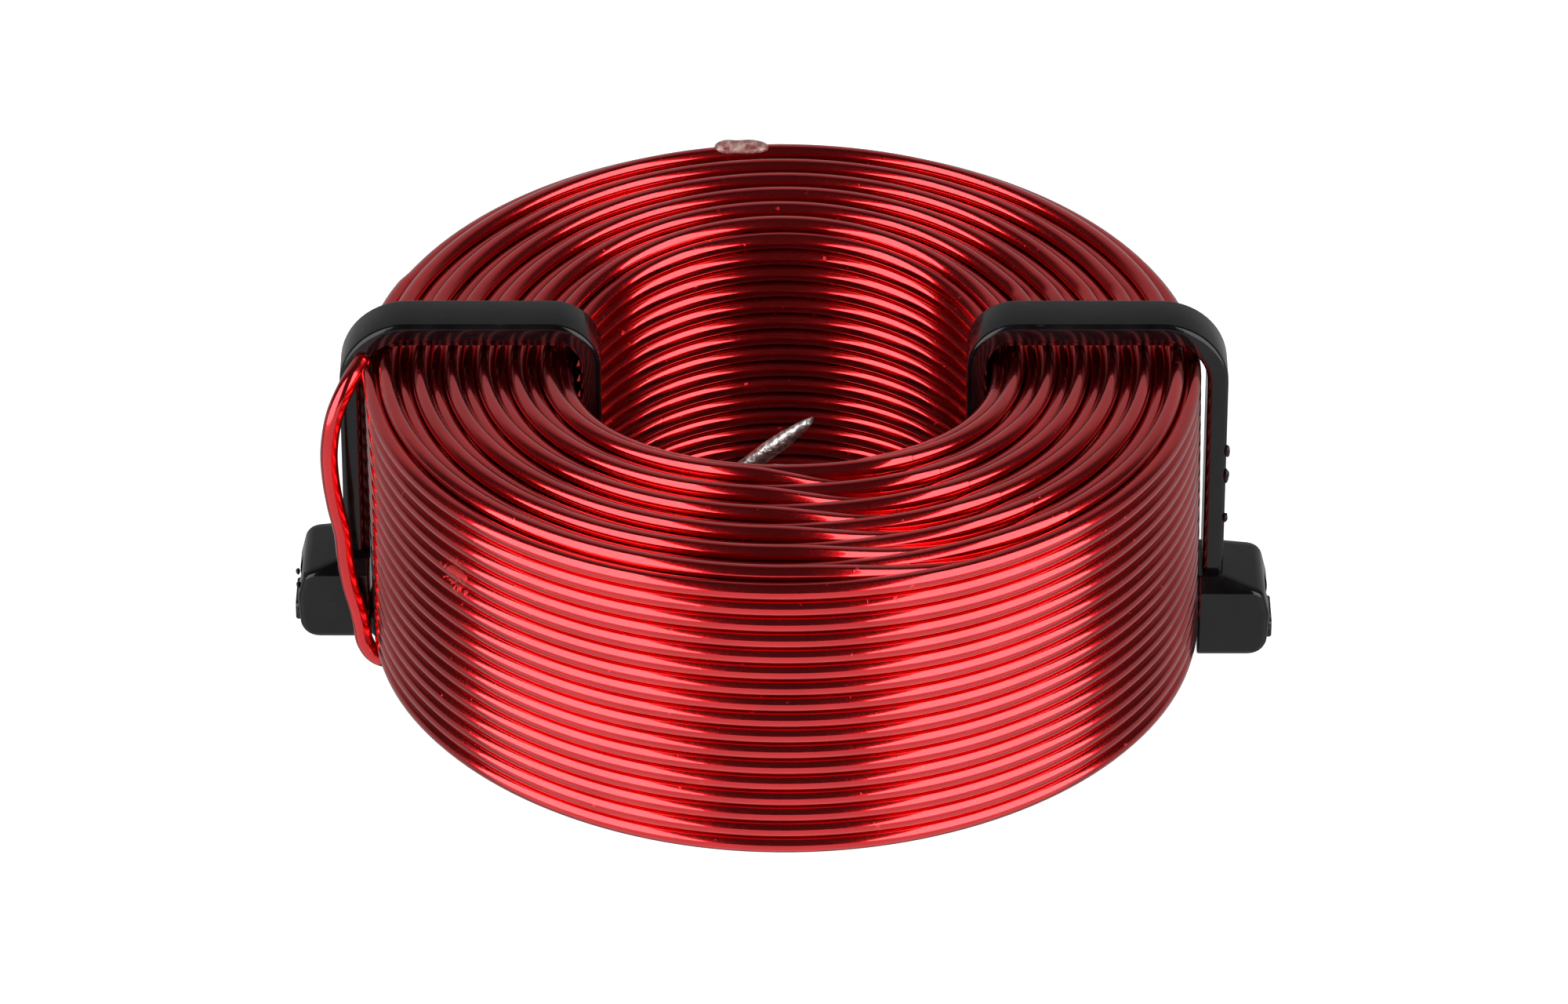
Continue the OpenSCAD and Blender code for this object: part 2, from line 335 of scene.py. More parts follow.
def tube(path, radius, sides, up=(0, 0, 1)):
    """Points and faces of a round tube along a path; radius is one number or one for each ring."""
    path = np.asarray(path, float)
    radius = np.broadcast_to(np.asarray(radius, float), (len(path),))
    way = np.gradient(path, axis=0)
    way /= np.linalg.norm(way, axis=1)[:, None]
    side = np.cross(way, np.array(up, float))
    side /= np.linalg.norm(side, axis=1)[:, None]
    over = np.cross(side, way)
    a = np.arange(sides) * 2 * math.pi / sides
    spokes = np.cos(a)[None, :, None] * side[:, None, :] + np.sin(a)[None, :, None] * over[:, None, :]
    rings = path[:, None, :] + radius[:, None, None] * spokes
    return rings.reshape(-1, 3), skin(len(path), sides)


def joined(parts):
    """Several (points, faces) as one."""
    verts, faces, count = [], [], 0
    for v, f in parts:
        verts.append(np.asarray(v, float))
        faces += [[i + count for i in face] for face in f]
        count += len(v)
    return np.concatenate(verts), faces


def face_outwards(obj, weld=False):
    """Turns a closed mesh's faces outwards, first joining the points that coincide if weld is set."""
    shape = bmesh.new()
    shape.from_mesh(obj.data)
    if weld:
        bmesh.ops.remove_doubles(shape, verts=shape.verts, dist=WELD)
    bmesh.ops.recalc_face_normals(shape, faces=shape.faces)
    shape.to_mesh(obj.data)
    shape.free()


# ---------------------------------------------------------------- camera and cords

def make_camera():
    """A long lens in front of the coil, looking down on it."""
    data = bpy.data.cameras.new("camera")
    data.lens = CAMERA_LENS
    data.sensor_width = CAMERA_SENSOR
    data.clip_start = 0.01
    data.clip_end = 10
    camera = bpy.data.objects.new("camera", data)
    bpy.context.scene.collection.objects.link(camera)
    back = Vector((0, -math.cos(CAMERA_ELEVATION), math.sin(CAMERA_ELEVATION)))
    camera.location = (Vector(CAMERA_TARGET) + back * CAMERA_DISTANCE) * MM
    camera.rotation_mode = "QUATERNION"
    camera.rotation_quaternion = (-back).to_track_quat("-Z", "Y")
    bpy.context.scene.camera = camera


def make_wire(name, line, bare_from, up):
    """One lead as a round tube along its line, thinner from where it goes into the tin."""
    radius = np.where(np.arange(len(line)) < bare_from, WIRE_R, BARE_R)
    radius[-1] = BARE_END_R
    verts, faces = tube(line, radius, WIRE_SIDES, up)
    return new_object(name, verts, faces, smooth_angle=50)


def tip_size(s):
    """Thickness of the tinned end, as a share, at s along it: a collar, then full, then a blunt point."""
    to_end = TIP_LENGTH - s
    size = 1
    if to_end <= TIP_TAPER:
        size = TIP_BLUNT + (1 - TIP_BLUNT) * (to_end / TIP_TAPER) ** TIP_TAPER_POWER
    if s < COLLAR_LENGTH:
        size *= COLLAR_SIZE + (1 - COLLAR_SIZE) * smooth(s / COLLAR_LENGTH)
    return size


def tin_sleeve(name, start, direction, seed):
    """The tinned end: solder that froze in slight lumps over the wire, cut to a blunt slanted point."""
    rng = random.Random(seed)
    rings, sides = 56, 28
    lumps = []
    for _ in range(LUMPS):
        along, lobes = rng.uniform(*LUMP_WAVES), rng.randint(*LUMP_LOBES)
        phase, height = rng.uniform(*ANY_PHASE), rng.uniform(*LUMP_SIZE)
        lumps.append((along, lobes, phase, height))
    way = np.array(direction, float)
    side = np.cross(way, (0, 1, 0))
    side /= np.linalg.norm(side)
    over = np.cross(side, way)
    verts = []
    for i in range(rings):
        s = TIP_LENGTH * i / (rings - 1)
        for k in range(sides):
            a = 2 * math.pi * k / sides
            lump = sum(h * math.sin(along * s + lobes * a + phase) for along, lobes, phase, h in lumps)
            r = TIP_R * tip_size(s) * (1 + lump)
            slant = TIP_SLANT * math.sin(a) if i == rings - 1 else 0
            spoke = math.cos(a) * side + math.sin(a) * over
            verts.append(np.array(start) + way * (s + slant) + r * spoke)
    return new_object(name, verts, skin(rings, sides))


def make_lead(name, route, tip_direction, up, seed):
    """A lead that leaves the winding: its enamelled wire and its tinned end."""
    line = catmull(route, ROUTE_STEPS)
    tip = [line[-1] + np.array(tip_direction, float) * s for s in WIRE_IN_TIP]
    centre = np.concatenate([line, tip])
    wire = make_wire(name + "_wire", centre, len(line) + 1, up)
    tin = tin_sleeve(name + "_tin", route[-1], tip_direction, seed)
    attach(wire, "coil")
    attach(tin, "coil")
    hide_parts(name)
    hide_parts(name + "_tip")
    return wire, tin


make_camera()
outer_tip_way = (math.cos(OUTER_TIP_ANGLE), 0, math.sin(OUTER_TIP_ANGLE))
outer_wire, outer_tin = make_lead("outer_lead", OUTER_ROUTE, outer_tip_way, up=(0, 1, 0), seed=5)
inner_wire, inner_tin = make_lead("inner_lead", INNER_ROUTE, INNER_TIP_WAY, up=(0.7, 0.7, -0.1), seed=9)


# ---------------------------------------------------------------- winding

def layer_r(i):
    """Radius of the centreline of layer i; layer 1 lies on the bore."""
    return BORE_R + WIRE_R + (i - 1) * LAYER_PITCH


def layer_turns(i):
    """Turns in layer i: one less in the odd layers, which lie half a pitch higher."""
    return FULL_TURNS - i % 2


def layer_first_z(i):
    """Height of the centreline of layer i's lowest turn."""
    return WINDING_Z + WIRE_R + (i % 2) * TURN_PITCH / 2


def crossover(i):
    """Angle at which layer i begins and its turns step on to the next."""
    if i >= LAYERS:
        return LAST_CROSSOVER
    if i <= 1:
        return FIRST_CROSSOVER
    return CROSSOVER_AT + CROSSOVER_DRIFT * (i - 2)


def layer_path(i):
    """Centreline of a layer's wire: level turns, joined by short steps at the layer's crossover, and at
    its end a climb on to the next layer."""
    turns = layer_turns(i)
    rising = i % 2 == 1
    start = crossover(i)
    end = crossover(i + 1) + 2 * math.pi * turns
    angle = np.linspace(start, end, round((end - start) / ARC_STEP))

    # Turns that go down step early, to leave room for the wire that climbs from the layer below
    turned = (angle - start + (0 if rising else STEP_ANGLE / 2)) / (2 * math.pi)
    turn = np.floor(turned)
    step_share = STEP_ANGLE / (2 * math.pi)
    climb = np.minimum(turn + smooth((turned - turn - 1 + step_share) / step_share), turns - 1)
    z = layer_first_z(i) + TURN_PITCH * (climb if rising else turns - 1 - climb)
    out = smooth((angle - end) / STEP_ANGLE + 1) if i < LAYERS else np.zeros_like(angle)
    r = layer_r(i) + LAYER_PITCH * out
    z = z + TURN_PITCH / 2 * out

    # Each turn lies a little out of true, the same way for its neighbours
    rng = random.Random(100 + i)
    calm = smooth((angle - start) / STEP_ANGLE) * smooth((end - angle) / STEP_ANGLE)
    for _ in range(WOBBLES):
        waves = rng.randint(*WOBBLE_WAVES)
        phase = rng.uniform(0, 2 * math.pi)
        drift = rng.uniform(-WOBBLE_DRIFT, WOBBLE_DRIFT)
        size = rng.uniform(*WOBBLE_SIZE) * calm
        r = r + size * np.sin(waves * angle + phase + drift * turned)
        z = z + WOBBLE_RISE * size * np.cos(waves * angle + WOBBLE_PHASE_RISE * phase - drift * turned)

    # The turns spread in front and behind, where no strap holds them down
    inwards = 1 - (i + out - 1) / (LAYERS - 1)
    spread = (SPREAD_OUTSIDE + SPREAD_AT_BORE * inwards) * np.sin(angle) ** 2
    z = WINDING_Z + (z - WINDING_Z) * (1 + spread / WINDING_H)

    # Nicks where the wire was pressed on the top turns, by the right tie
    top = z > WINDING_Z + WINDING_H - TOP_TURN
    if i in NICKED_LAYERS:
        nick = NICK_ANGLE - NICK_DRIFT * i
        away = (np.mod(angle - nick + math.pi, 2 * math.pi) - math.pi) / NICK_W
        dent = np.exp(-away ** 2) * top
        r = r + NICK_OUT * dent
        z = z - NICK_DOWN * dent

    # The last turn stands out a little where the lead leaves it
    if i == LAYERS:
        from_lead = np.abs(np.degrees(np.mod(angle, 2 * math.pi)) - LEAD_OUT_DEG)
        r = r + BULGE * top * smooth((BULGE_HALF_DEG - from_lead) / BULGE_EDGE_DEG)
    lean = -WINDING_LEAN * (z - WINDING_Z - WINDING_H / 2)
    return np.stack([r * np.cos(angle) + lean, r * np.sin(angle), z], axis=1)


def lead_out_path():
    """The wire's last stretch on the winding, where it climbs out of the top turn to the lead."""
    angles_deg = np.linspace(*CLIMB_RANGE_DEG, CLIMB_STEPS)
    angles = np.radians(angles_deg)
    t = smooth((angles_deg - CLIMB_FROM_DEG) / CLIMB_OVER_DEG)
    r = layer_r(LAYERS) + CLIMB_OUT * t
    z = layer_first_z(LAYERS) + (layer_turns(LAYERS) - 1) * TURN_PITCH + CLIMB_UP * t
    ring = np.stack([r * np.cos(angles), r * np.sin(angles), z], axis=1)
    return np.concatenate([ring, [OUTER_ROUTE[0]]])


def make_layer(i, material):
    """One layer of the winding; the last also has the stretch that leads out of it."""
    sides = 14
    parts = [tube(layer_path(i), WIRE_R, sides)]
    if i == LAYERS:
        parts.append(tube(lead_out_path(), WIRE_R, sides))
    verts, faces = joined(parts)
    node = f"winding_layer_{i:02d}"
    obj = new_object(node + "_turns", verts, faces, smooth_angle=60)
    obj.data.materials.append(material)
    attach(obj, "coil")
    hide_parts(node)


# ---------------------------------------------------------------- materials

def plain_material(name, **values):
    """A material whose shader has these values; _ stands for the space in a socket's name."""
    material = bpy.data.materials.new(name)
    material.use_nodes = True
    shader = material.node_tree.nodes["Principled BSDF"]
    for socket, value in values.items():
        shader.inputs[socket.replace("_", " ")].default_value = value
    return material


class Nodes:
    """Short names for building a node material round one Principled shader."""

    def __init__(self, name, **values):
        self.material = plain_material(name, **values)
        self.tree = self.material.node_tree
        self.place = self.add("ShaderNodeTexCoord").outputs["Object"]

    def add(self, kind, **inputs):
        node = self.tree.nodes.new(kind)
        for socket, value in inputs.items():
            self.set(node.inputs[socket.replace("_", " ")], value)
        return node

    def set(self, socket, value):
        if isinstance(value, bpy.types.NodeSocket):
            self.tree.links.new(value, socket)
        else:
            socket.default_value = value

    def noise(self, size_mm, detail, stretch=(1, 1, 1)):
        """Noise whose features are about size_mm across."""
        mapping = self.add("ShaderNodeMapping", Vector=self.place, Scale=stretch)
        place = mapping.outputs["Vector"]
        node = self.add("ShaderNodeTexNoise", Vector=place, Scale=1 / (size_mm * MM), Detail=detail)
        return node.outputs["Fac"]

    def distance_from(self, point_mm):
        """Distance in metres from a point of the object."""
        node = self.add("ShaderNodeVectorMath", Vector=self.place)
        node.operation = "DISTANCE"
        self.set(node.inputs[1], tuple(c * MM for c in point_mm))
        return node.outputs["Value"]

    def scaled(self, value, between, to=(0, 1)):
        """The value moved from one range on to another, and kept inside it."""
        node = self.add(
            "ShaderNodeMapRange",
            Value=value,
            From_Min=between[0],
            From_Max=between[1],
            To_Min=to[0],
            To_Max=to[1],
        )
        return node.outputs["Result"]

    def maths(self, kind, a, b):
        node = self.tree.nodes.new("ShaderNodeMath")
        node.operation = kind
        self.set(node.inputs[0], a)
        self.set(node.inputs[1], b)
        return node.outputs[0]

    def plus(self, a, b):
        return self.maths("ADD", a, b)

    def times(self, a, b):
        return self.maths("MULTIPLY", a, b)

    def mixed(self, share, a, b):
        """Colour a, going over to colour b as share goes from 0 to 1."""
        node = self.tree.nodes.new("ShaderNodeMix")
        node.data_type = "RGBA"
        self.set(node.inputs["Factor"], share)
        colours = [s for s in node.inputs if s.type == "RGBA"]
        self.set(colours[0], a)
        self.set(colours[1], b)
        return next(s for s in node.outputs if s.type == "RGBA")

    def bumped(self, height, distance_mm, strength, under=None):
        """A normal bent by a height, over the normal of the bumps under it."""
        node = self.add("ShaderNodeBump", Height=height, Distance=distance_mm * MM, Strength=strength)
        if under is not None:
            self.set(node.inputs["Normal"], under)
        return node.outputs["Normal"]

    def finish(self, **links):
        """The material, with these sockets of its shader linked."""
        shader = self.tree.nodes["Principled BSDF"]
        for socket, value in links.items():
            self.set(shader.inputs[socket.replace("_", " ")], value)
        return self.material


def enamel_material():
    """Clear red enamel over bright copper: a red metal under a glossy coat, with small spots of varnish
    and a smear of it across a few turns."""
    n = Nodes("enamelled_wire", Metallic=1.0, Coat_Weight=1.0, Coat_Roughness=0.05, Coat_IOR=1.48)
    patches = n.noise(size_mm=3.2, detail=3)
    grain = n.noise(size_mm=0.12, detail=2)
    spot = n.scaled(n.noise(size_mm=0.42, detail=1), between=(0.735, 0.80))
    near = n.scaled(n.distance_from(SMEAR_AT), between=(SMEAR_CORE_R * MM, SMEAR_R * MM), to=(0.62, 0))
    smear = n.scaled(n.plus(near, n.noise(size_mm=0.45, detail=3)), between=(0.98, 1.06))

    colour = n.mixed(n.scaled(patches, between=(0.3, 0.7)), ENAMEL_DEEP, ENAMEL_BRIGHT)
    colour = n.mixed(n.times(spot, 0.5), colour, ENAMEL_SPOT)
    colour = n.mixed(n.times(smear, 0.75), colour, ENAMEL_SMEAR)
    roughness = n.scaled(grain, between=(0.3, 0.7), to=(0.15, 0.21))
    roughness = n.plus(roughness, n.times(spot, 0.15))
    roughness = n.plus(roughness, n.times(smear, 0.3))
    normal = n.bumped(patches, distance_mm=0.05, strength=0.2)
    normal = n.bumped(grain, distance_mm=0.002, strength=0.4, under=normal)
    normal = n.bumped(spot, distance_mm=0.015, strength=0.5, under=normal)
    normal = n.bumped(smear, distance_mm=0.05, strength=0.8, under=normal)
    return n.finish(Base_Color=colour, Roughness=roughness, Normal=normal)


def nylon_material():
    """Black moulded nylon, faintly mottled, with scuffs and a fine moulding grain."""
    n = Nodes("black_nylon", Specular_IOR_Level=0.18, Coat_Weight=0.28, Coat_Roughness=0.09)
    mottle = n.noise(size_mm=1.6, detail=4)
    scuff = n.scaled(n.noise(size_mm=0.5, detail=5, stretch=(1, 1, 3.5)), between=(0.66, 0.78))
    grain = n.noise(size_mm=0.12, detail=3)
    colour = n.mixed(n.scaled(mottle, between=(0.35, 0.7)), NYLON_DARK, NYLON_LIGHT)
    colour = n.mixed(n.times(scuff, 0.35), colour, NYLON_SCUFF)
    roughness = n.scaled(mottle, between=(0.3, 0.7), to=(0.16, 0.28))
    roughness = n.plus(roughness, n.times(scuff, 0.12))
    normal = n.bumped(mottle, distance_mm=0.06, strength=0.5)
    normal = n.bumped(grain, distance_mm=0.003, strength=0.4, under=normal)
    return n.finish(Base_Color=colour, Roughness=roughness, Normal=normal)


def tin_material():
    """Solder: a bright grey metal, frosted and pitted."""
    n = Nodes("tinned_copper", Metallic=1.0)
    frost = n.noise(size_mm=0.28, detail=4)
    pits = n.noise(size_mm=0.10, detail=3)
    colour = n.mixed(n.scaled(frost, between=(0.35, 0.68)), TIN_DARK, TIN_BRIGHT)
    roughness = n.scaled(pits, between=(0.3, 0.7), to=(0.28, 0.50))
    normal = n.bumped(frost, distance_mm=0.09, strength=0.9)
    normal = n.bumped(pits, distance_mm=0.03, strength=0.7, under=normal)
    return n.finish(Base_Color=colour, Roughness=roughness, Normal=normal)


def varnish_material():
    """Dried varnish: cloudy, half clear and glossy."""
    n = Nodes("varnish", IOR=1.5, Transmission_Weight=0.55, Coat_Weight=0.6, Coat_Roughness=0.08)
    cloud = n.noise(size_mm=0.35, detail=4)
    colour = n.mixed(n.scaled(cloud, between=(0.38, 0.66)), VARNISH_DARK, VARNISH_PALE)
    roughness = n.scaled(cloud, between=(0.3, 0.7), to=(0.12, 0.35))
    normal = n.bumped(cloud, distance_mm=0.08, strength=0.7)
    return n.finish(Base_Color=colour, Roughness=roughness, Normal=normal)


enamel = enamel_material()
nylon = nylon_material()
tin = tin_material()
varnish = varnish_material()

for wire in (outer_wire, inner_wire):
    wire.data.materials.append(enamel)
for sleeve in (outer_tin, inner_tin):
    sleeve.data.materials.append(tin)
for layer in range(1, LAYERS + 1):
    make_layer(layer, enamel)


# ---------------------------------------------------------------- cable ties

def box_as_right(node, side):
    """A CAD node's box in millimetres; a left tie's is mirrored, as both ties are drawn on the right."""
    low, high = (np.array(corner, float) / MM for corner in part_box(node))
    if side == "left":
        low[0], high[0] = -high[0], -low[0]
    return low, high


def arc(centre_x, centre_y, radius, start_deg, steps):
    """Points of a quarter circle, from start_deg on."""
    points = []
    for k in range(steps + 1):
        a = math.radians(start_deg + 90 * k / steps)
        points.append((centre_x + radius * math.cos(a), centre_y + radius * math.sin(a)))
    return points


def bend(a, b, c, r, steps=14):
    """Points of the arc of radius r that rounds the corner b between a and c."""
    a, b, c = (np.array(p, float) for p in (a, b, c))
    to_a = (a - b) / np.linalg.norm(a - b)
    to_c = (c - b) / np.linalg.norm(c - b)
    half = math.acos(float(np.clip(to_a @ to_c, -1, 1))) / 2
    middle = b + (to_a + to_c) / np.linalg.norm(to_a + to_c) * r / math.sin(half)
    first = b + to_a * r / math.tan(half) - middle
    last = b + to_c * r / math.tan(half) - middle
    start = math.atan2(first[1], first[0])
    turn = (math.atan2(last[1], last[0]) - start + 3 * math.pi) % (2 * math.pi) - math.pi
    angles = [start + turn * i / steps for i in range(steps + 1)]
    return [middle + r * np.array([math.cos(angle), math.sin(angle)]) for angle in angles]


def rounded_line(corners):
    """A line through corners (x, z, radius), with each inner corner rounded."""
    flat = [(x, z) for x, z, _ in corners]
    line = [np.array(flat[0], float)]
    for i in range(1, len(corners) - 1):
        line += bend(flat[i - 1], flat[i], flat[i + 1], corners[i][2])
    line.append(np.array(flat[-1], float))
    return np.array(line)


def resampled(line, step):
    """The same line with points every step, ends kept, and how far along it each of them is."""
    run = np.concatenate([[0], np.cumsum(np.linalg.norm(np.diff(line, axis=0), axis=1))])
    at = np.linspace(0, run[-1], max(2, int(run[-1] / step) + 1))
    return np.stack([np.interp(at, run, line[:, k]) for k in range(line.shape[1])], axis=1), at


def strap_line(low, high, head_low, head_high):
    """Middle line of a strap as (x, z): from the head's top, round the winding and out of the slot."""
    half = STRAP_T / 2
    outer_x = head_low[0] + STRAP_IN_HEAD + half
    bore_x = low[0] + half + BORE_GAP
    top_z = high[2] - half
    slot_mid = head_low[2] + SLOT_Z + half
    rise_x = outer_x - half - RISE_IN
    return rounded_line([
        (outer_x, head_high[2] - STRAP_TOP_IN_HEAD, 0),
        (outer_x, top_z, BEND_OUTSIDE + half),
        (bore_x, top_z, BEND_BORE_TOP + half),
        (bore_x, half, BEND_BORE_BOTTOM + half),
        (rise_x, half, BEND_RISE_OUTSIDE),
        (rise_x + slot_mid - half, slot_mid, BEND_RISE_INSIDE),
        (high[0], slot_mid, 0),
    ])


def strap_section(recess, half_width):
    """Section of a strap as (across, outward). Its inner face is cut back by recess over the middle, as
    between the ladder's teeth, or it swells there if recess is negative."""
    w, t = STRAP_W / 2, STRAP_T / 2
    corner_x, corner_y = w - STRAP_EDGE, t - STRAP_EDGE
    recess_side = [
        (-half_width - TOOTH_FLANK, -t),
        (-half_width + TOOTH_FLANK, -t + recess),
        (half_width - TOOTH_FLANK, -t + recess),
        (half_width + TOOTH_FLANK, -t),
    ]
    return (
        arc(corner_x, corner_y, STRAP_EDGE, 0, 4)
        + arc(-corner_x, corner_y, STRAP_EDGE, 90, 4)
        + arc(-corner_x, -corner_y, STRAP_EDGE, 180, 4)
        + recess_side
        + arc(corner_x, -corner_y, STRAP_EDGE, 270, 4)
    )


def tooth_recess(run):
    """How deep the ladder is cut at a place along the strap: each tooth is a ramp and a step back."""
    share = (run / TOOTH_PITCH) % 1
    if share >= TOOTH_STEP_AT:
        return 0.0
    return TOOTH_DEPTH * min(1, max(0, (share - TOOTH_RAMP_FROM) / TOOTH_RAMP))


def facing(outward):
    """How far a face looks in a direction, 0..1, from the share of its normal that points there."""
    return smooth((outward - SWELL_FACING) / (1 - SWELL_FACING))


def nub(at, size, seed):
    """A small rough bump, as left where a tool nicked the nylon."""
    rng = random.Random(seed)
    shape = bmesh.new()
    bmesh.ops.create_icosphere(shape, subdivisions=2, radius=1)
    verts = [np.array(at) + np.array(v.co) * size * rng.uniform(*NUB_ROUGHNESS) for v in shape.verts]
    faces = [[v.index for v in f.verts] for f in shape.faces]
    shape.free()
    return verts, faces


def stick_on(obj, parts):
    """Adds closed parts, in millimetres, to a mesh."""
    shape = bmesh.new()
    shape.from_mesh(obj.data)
    for verts, faces in parts:
        made = [shape.verts.new(Vector(v) * MM) for v in verts]
        for face in faces:
            shape.faces.new([made[i] for i in face]).smooth = True
    shape.to_mesh(obj.data)
    shape.free()


def strap_nubs(outer_face, middle_y):
    """Bumps down the front edge of the right strap's outer leg."""
    x = outer_face + STRAP_NUB_OUT
    y = middle_y - STRAP_NUB_FRONT
    return [nub((x, y, z), (*STRAP_NUB_SIZE, height), 40 + i) for i, (z, height) in enumerate(STRAP_NUBS)]


def make_strap(side, material):
    """A strap's loop. Its inner face swells down on the coil's top, and has the ladder near the tail."""
    name = side + "_tie_strap"
    mirror = -1 if side == "left" else 1
    low, high = box_as_right("right_tie_strap", "right")
    own_low, own_high = box_as_right(name, side)
    head_low, head_high = box_as_right(side + "_tie_head", side)
    middle_y = (own_low[1] + own_high[1]) / 2
    line, run = resampled(strap_line(low, high, head_low, head_high), STRAP_STEP)
    way = np.gradient(line, axis=0)
    way /= np.linalg.norm(way, axis=1)[:, None]
    outward = np.stack([way[:, 1], -way[:, 0]], axis=1)
    to_tail = run[-1] - run
    low_part = (line[:, 1] < LADDER_TOP + head_low[2]) & (run > LADDER_FROM * run[-1])
    ladder = low_part & (to_tail > LADDER_END)
    verts = []
    for i, (p, o) in enumerate(zip(line, outward)):
        swell = SWELL_TOP * facing(o[1])
        if side == "left":
            swell += SWELL_LEFT * facing(o[0])
        recess, half_width = -swell, SWELL_W / 2
        if ladder[i]:
            recess, half_width = tooth_recess(run[i]), TOOTH_W / 2
        shrink = STRAP_END_SHRINK if i in (0, len(line) - 1) else 1
        for across, out in strap_section(recess, half_width):
            q = p + o * out * shrink
            verts.append((mirror * q[0], middle_y + across * shrink, q[1]))
    faces = skin(len(line), len(verts) // len(line))
    if mirror > 0:
        faces = [f[::-1] for f in faces]
    obj = new_object(name + "_band", verts, faces, smooth_angle=42)
    if side == "right":
        stick_on(obj, strap_nubs(head_low[0] + STRAP_IN_HEAD + STRAP_T, middle_y))
    obj.data.materials.append(material)
    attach(obj, "coil")
    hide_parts(name)


def head_levels(low, high):
    """Heights of a head's sections, with the outer face's place and the half width at each."""
    inner = low[0]
    far = high[0]
    height = high[2] - low[2]
    half_w = (high[1] - low[1]) / 2
    from_front = rounded_line([
        (inner + HEAD_BASE_FROM, 0, 0),
        (far - HEAD_FOOT_IN, 0, HEAD_FOOT_R),
        (far, HEAD_BELLY_Z, HEAD_BELLY_R),
        (far - HEAD_TOP_IN, height - HEAD_BEVEL, HEAD_TOP_R),
        (inner + STRAP_IN_HEAD + STRAP_T, height, HEAD_CREST_R),
        (inner + HEAD_CREST_TO, height, 0),
    ])
    from_side = rounded_line([
        (0, 0, 0),
        (half_w, 0, HEAD_BASE_R),
        (half_w, height - HEAD_BEVEL, HEAD_BEVEL_R),
        (half_w - HEAD_BEVEL, height, HEAD_BEVEL_R),
        (0, height, 0),
    ])
    heights = [from_front[:, 1], from_side[:, 1], np.linspace(0, height, HEAD_LEVELS)]
    z = np.unique(np.concatenate(heights).round(3))
    rising = from_front[np.argsort(from_front[:, 1], kind="stable")]
    side_rising = from_side[np.argsort(from_side[:, 1], kind="stable")]
    x = np.interp(z, rising[:, 1], rising[:, 0])
    w = np.interp(z, side_rising[:, 1], side_rising[:, 0])
    return list(zip(z, x, w))


def head_shell(low, high):
    """The head's outside as stacked rounded rectangles."""
    inner = low[0]
    middle_y = (low[1] + high[1]) / 2
    steps = 6
    levels = head_levels(low, high)
    verts = []
    for z, far, w in levels:
        big = min(HEAD_CORNER, HEAD_CORNER_SHARE * w, HEAD_CORNER_SHARE * (far - inner))
        small = min(HEAD_INNER_CORNER, big)
        outline = (
            arc(far - big, w - big, big, 0, steps)
            + arc(inner + small, w - small, small, 90, steps)
            + arc(inner + small, -w + small, small, 180, steps)
            + arc(far - big, -w + big, big, 270, steps)
        )
        verts += [(x, middle_y + y, low[2] + z) for x, y in outline]
    return verts, skin(len(levels), len(verts) // len(levels))


def block(low, high):
    """Points and faces of a plain box, used only to cut openings."""
    x0, y0, z0 = low
    x1, y1, z1 = high
    verts = [(x, y, z) for z in (z0, z1) for y in (y0, y1) for x in (x0, x1)]
    faces = [[0, 2, 3, 1], [4, 5, 7, 6], [0, 1, 5, 4], [2, 6, 7, 3], [0, 4, 6, 2], [1, 3, 7, 5]]
    return verts, faces


def cut(obj, cutter):
    """Takes cutter out of obj, and removes cutter."""
    modifier = obj.modifiers.new("cut", "BOOLEAN")
    modifier.operation = "DIFFERENCE"
    modifier.solver = "EXACT"
    modifier.object = cutter
    graph = bpy.context.evaluated_depsgraph_get()
    mesh = bpy.data.meshes.new_from_object(obj.evaluated_get(graph))
    obj.modifiers.clear()
    obj.data = mesh
    bpy.data.objects.remove(cutter)


def head_openings(x, y, z):
    """The slot through a head, the open mouth under it, and the cavity over it that holds the pawl."""
    slot_half = STRAP_W / 2 + SLOT_SIDE_GAP
    slot_low = z + SLOT_Z - SLOT_GAP
    slot_high = slot_low + STRAP_T + 2 * SLOT_GAP
    inside = x - PAST_INNER_FACE
    outside = x + PAST_HEAD
    front, rear = y - slot_half, y + slot_half
    return [
        block((inside, front, slot_low), (outside, rear, slot_high)),
        block((inside, front, z - PAST_BASE), (x + MOUTH_DEPTH, rear, slot_low + SLOT_OVERLAP)),
        block(
            (x + CAVITY_X, y - CAVITY_HALF_W, slot_low + CAVITY_LIP),
            (outside, y + CAVITY_HALF_W, z + CAVITY_TOP),
        ),
    ]


def head_nubs(side, low, high, middle_y):
    """Bumps up the front edge of a head's outer face."""
    x = high[0] - HEAD_NUB_IN
    y = middle_y - HEAD_NUB_FRONT
    heights = [low[2] + (high[2] - low[2]) * share for share in HEAD_NUBS[side]]
    return [nub((x, y, z), HEAD_NUB_SIZE, 60 + i) for i, z in enumerate(heights)]


def make_head(side, material):
    """A head: the moulded block that the strap runs through."""
    name = side + "_tie_head"
    low, high = box_as_right(name, side)
    middle_y = (low[1] + high[1]) / 2
    verts, faces = head_shell(low, high)
    obj = new_object(name + "_block", verts, faces)
    for points, quads in head_openings(low[0], middle_y, low[2]):
        cut(obj, new_object("cutter", points, quads))
    stick_on(obj, head_nubs(side, low, high, middle_y))
    if side == "left":
        obj.data.transform(Matrix.Scale(-1, 4, (1, 0, 0)))
        obj.data.flip_normals()
    obj.data.polygons.foreach_set("use_smooth", [True] * len(obj.data.polygons))
    obj.data.set_sharp_from_angle(angle=math.radians(38))
    obj.data.materials.clear()
    obj.data.materials.append(material)
    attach(obj, "coil")
    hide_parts(name)


